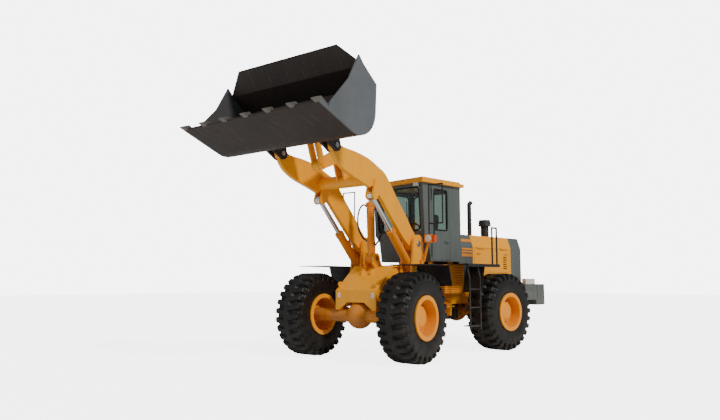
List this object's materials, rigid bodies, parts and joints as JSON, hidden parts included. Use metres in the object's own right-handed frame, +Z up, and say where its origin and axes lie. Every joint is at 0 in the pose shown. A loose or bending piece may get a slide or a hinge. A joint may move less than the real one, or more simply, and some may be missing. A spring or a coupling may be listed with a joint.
{
  "type": "wheel loader",
  "caption": "Articulated wheel loader with a raised toothed bucket on a Z-bar boom, glazed cab, long engine hood, deep-dish wheels and a rear counterweight; digs, lifts and loads loose earth.",
  "frame": {"origin": "on the ground under the middle of the machine's bounding box", "axes": "X runs forward along the rear half, Y to the left, Z up; the front half is turned 11 degrees to the left about the centre hinge"},
  "size_m": [8.6448, 3.7846, 5.1157],
  "materials": {
    "body_yellow": "gloss",
    "trim_grey": "satin",
    "shade_orange": "gloss",
    "black_paint": "satin",
    "tyre_rubber": "matte",
    "pin_steel": "satin",
    "rod_chrome": "polished",
    "bucket_grey": "worn",
    "tooth_iron": "worn",
    "cab_glass": "clear",
    "lamp_lens": "clear",
    "indicator_red": "clear",
    "seat_black": "soft",
    "engine_iron": "matte",
    "axle_paint": "satin"
  },
  "bodies": {
    "rear_half": {"rear_frame": "body_yellow", "rear_axle": "axle_paint", "counterweight": "trim_grey", "hood_front": "trim_grey", "hood_main": "body_yellow", "hood_rear": "trim_grey", "grille": "black_paint", "engine_block": "engine_iron", "rear_shaft": "pin_steel", "exhaust": "black_paint", "precleaner": "black_paint", "platforms": "black_paint", "ladders": "black_paint", "handrails": "black_paint", "side_tanks": "shade_orange", "cab_base": "trim_grey", "cab_roof": "body_yellow", "cab_glass": "cab_glass", "seat": "seat_black", "steering_column": "black_paint", "lamps": "lamp_lens"},
    "door": {"door": "trim_grey", "door_glass": "cab_glass"},
    "hood_door_left": {"hood_door_left": "body_yellow"},
    "hood_door_right": {"hood_door_right": "body_yellow"},
    "front_half": {"front_frame": "body_yellow", "front_axle": "axle_paint", "front_shaft": "pin_steel", "fenders": "black_paint", "lamp_arms": "shade_orange", "headlamps": "lamp_lens", "indicators": "indicator_red", "lamp_rails": "black_paint", "tilt_pin": "pin_steel"},
    "boom": {"boom": "body_yellow"},
    "bucket_pins": {"bucket_pins": "pin_steel"},
    "bucket": {"bucket": "bucket_grey", "bucket_teeth": "tooth_iron"},
    "bellcrank": {"bellcrank": "body_yellow", "bellcrank_pin": "pin_steel"},
    "link": {"link": "body_yellow"},
    "lift_barrels": {"lift_barrels": "shade_orange"},
    "lift_rods": {"lift_rods": "rod_chrome"},
    "tilt_barrel": {"tilt_barrel": "shade_orange"},
    "tilt_rod": {"tilt_rod": "rod_chrome"},
    "steer_barrel_left": {"steer_barrel_left": "shade_orange"},
    "steer_rod_left": {"steer_rod_left": "rod_chrome"},
    "wheel_front_left": {"tyre_front_left": "tyre_rubber", "rim_front_left": "shade_orange"},
    "wheel_rear_left": {"tyre_rear_left": "tyre_rubber", "rim_rear_left": "shade_orange"},
    "steer_barrel_right": {"steer_barrel_right": "shade_orange"},
    "steer_rod_right": {"steer_rod_right": "rod_chrome"},
    "wheel_front_right": {"tyre_front_right": "tyre_rubber", "rim_front_right": "shade_orange"},
    "wheel_rear_right": {"tyre_rear_right": "tyre_rubber", "rim_rear_right": "shade_orange"}
  },
  "joints": [
    {"name": "steer", "type": "hinge", "parent": "rear_half", "child": "front_half", "pos_m": [-0.5624, -0.44728, 0.96], "axis": [0, 0, -1], "range_deg": [-24, 46]},
    {"name": "boom_lift", "type": "hinge", "parent": "front_half", "child": "boom", "pos_m": [0.13946, -0.31085, 2.145], "axis": [0.1908, -0.9816, 0], "range_deg": [-71, 10]},
    {"name": "bucket_level", "type": "hinge", "parent": "boom", "child": "bucket_pins", "pos_m": [2.57881, 0.16331, 3.66], "axis": [0.1908, -0.9816, 0], "range_deg": [-7, 49.7]},
    {"name": "bucket_tilt", "type": "hinge", "parent": "bucket_pins", "child": "bucket", "pos_m": [2.57881, 0.16331, 3.66], "axis": [-0.1908, 0.9816, 0], "range_deg": [-20, 62]},
    {"name": "crank_swing", "type": "hinge", "parent": "boom", "child": "bellcrank", "pos_m": [1.65313, -0.01663, 3.726], "axis": [0.1908, -0.9816, 0], "range_deg": [-47.98, 6.76]},
    {"name": "link_swing", "type": "hinge", "parent": "bucket", "child": "link", "pos_m": [2.45806, 0.13984, 4.078], "axis": [0.1908, -0.9816, 0], "range_deg": [-65.86, 9.28]},
    {"name": "tilt_swing", "type": "hinge", "parent": "front_half", "child": "tilt_barrel", "pos_m": [0.65482, -0.21068, 1.86], "axis": [0.1908, -0.9816, 0], "range_deg": [-72.81, 10.26]},
    {"name": "tilt_stroke", "type": "slide", "parent": "tilt_barrel", "child": "tilt_rod", "axis": [0.0418, 0.0081, 0.9991], "range_m": [-0.013, 0.09232]},
    {"name": "lift_swing", "type": "hinge", "parent": "front_half", "child": "lift_barrels", "pos_m": [0.17382, -0.30418, 1.62], "axis": [0.1908, -0.9816, 0], "range_deg": [-65.3, 9.2]},
    {"name": "lift_stroke", "type": "slide", "parent": "lift_barrels", "child": "lift_rods", "axis": [0.6967, 0.1354, 0.7045], "range_m": [-0.58489, 0.08238]},
    {"name": "steer_swing_left", "type": "hinge", "parent": "rear_half", "child": "steer_barrel_left", "pos_m": [-1.3124, 0.03272, 0.98], "axis": [0, 0, -1], "range_deg": [-9.8, 18.78]},
    {"name": "steer_stroke_left", "type": "slide", "parent": "steer_barrel_left", "child": "steer_rod_left", "axis": [0.9899, 0.142, 0], "range_m": [-0.21259, 0.40747]},
    {"name": "steer_swing_right", "type": "hinge", "parent": "rear_half", "child": "steer_barrel_right", "pos_m": [-1.3124, -0.92728, 0.98], "axis": [0, 0, -1], "range_deg": [-9.59, 18.39]},
    {"name": "steer_stroke_right", "type": "slide", "parent": "steer_barrel_right", "child": "steer_rod_right", "axis": [0.9999, 0.0124, 0], "range_m": [-0.43346, 0.22615]},
    {"name": "door_swing", "type": "hinge", "parent": "rear_half", "child": "door", "pos_m": [-0.5774, 0.27272, 2.6], "axis": [0, 0, -1], "range_deg": [0, 80]},
    {"name": "hood_door_left_swing", "type": "hinge", "parent": "rear_half", "child": "hood_door_left", "pos_m": [-2.7624, 0.17272, 2.153], "axis": [1, 0, 0], "range_deg": [0, 80]},
    {"name": "hood_door_right_swing", "type": "hinge", "parent": "rear_half", "child": "hood_door_right", "pos_m": [-2.7624, -1.06728, 2.153], "axis": [-1, 0, 0], "range_deg": [0, 80]},
    {"name": "wheel_front_left_spin", "type": "hinge", "parent": "front_half", "child": "wheel_front_left", "pos_m": [0.81331, 0.99165, 0.795], "axis": [-0.1908, 0.9816, 0], "continuous": true},
    {"name": "wheel_rear_left_spin", "type": "hinge", "parent": "rear_half", "child": "wheel_rear_left", "pos_m": [-2.1974, 0.70272, 0.795], "axis": [0, 1, 0], "continuous": true},
    {"name": "wheel_front_right_spin", "type": "hinge", "parent": "front_half", "child": "wheel_front_right", "pos_m": [1.25217, -1.26609, 0.795], "axis": [-0.1908, 0.9816, 0], "continuous": true},
    {"name": "wheel_rear_right_spin", "type": "hinge", "parent": "rear_half", "child": "wheel_rear_right", "pos_m": [-2.1974, -1.59728, 0.795], "axis": [0, 1, 0], "continuous": true}
  ],
  "couplings": [
    {"joint": "bucket_level", "follows": "boom_lift", "ratio": -0.7},
    {"joint": "crank_swing", "follows": "boom_lift", "ratio": 0.6758},
    {"joint": "link_swing", "follows": "boom_lift", "ratio": 0.9276},
    {"joint": "tilt_swing", "follows": "boom_lift", "ratio": 1.0255},
    {"joint": "tilt_stroke", "follows": "boom_lift", "m_per_rad": -0.0745},
    {"joint": "lift_swing", "follows": "boom_lift", "ratio": 0.9197},
    {"joint": "lift_stroke", "follows": "boom_lift", "m_per_rad": 0.472},
    {"joint": "steer_swing_left", "follows": "steer", "ratio": 0.40837},
    {"joint": "steer_stroke_left", "follows": "steer", "m_per_rad": 0.50753},
    {"joint": "steer_swing_right", "follows": "steer", "ratio": 0.39976},
    {"joint": "steer_stroke_right", "follows": "steer", "m_per_rad": -0.5399}
  ]
}
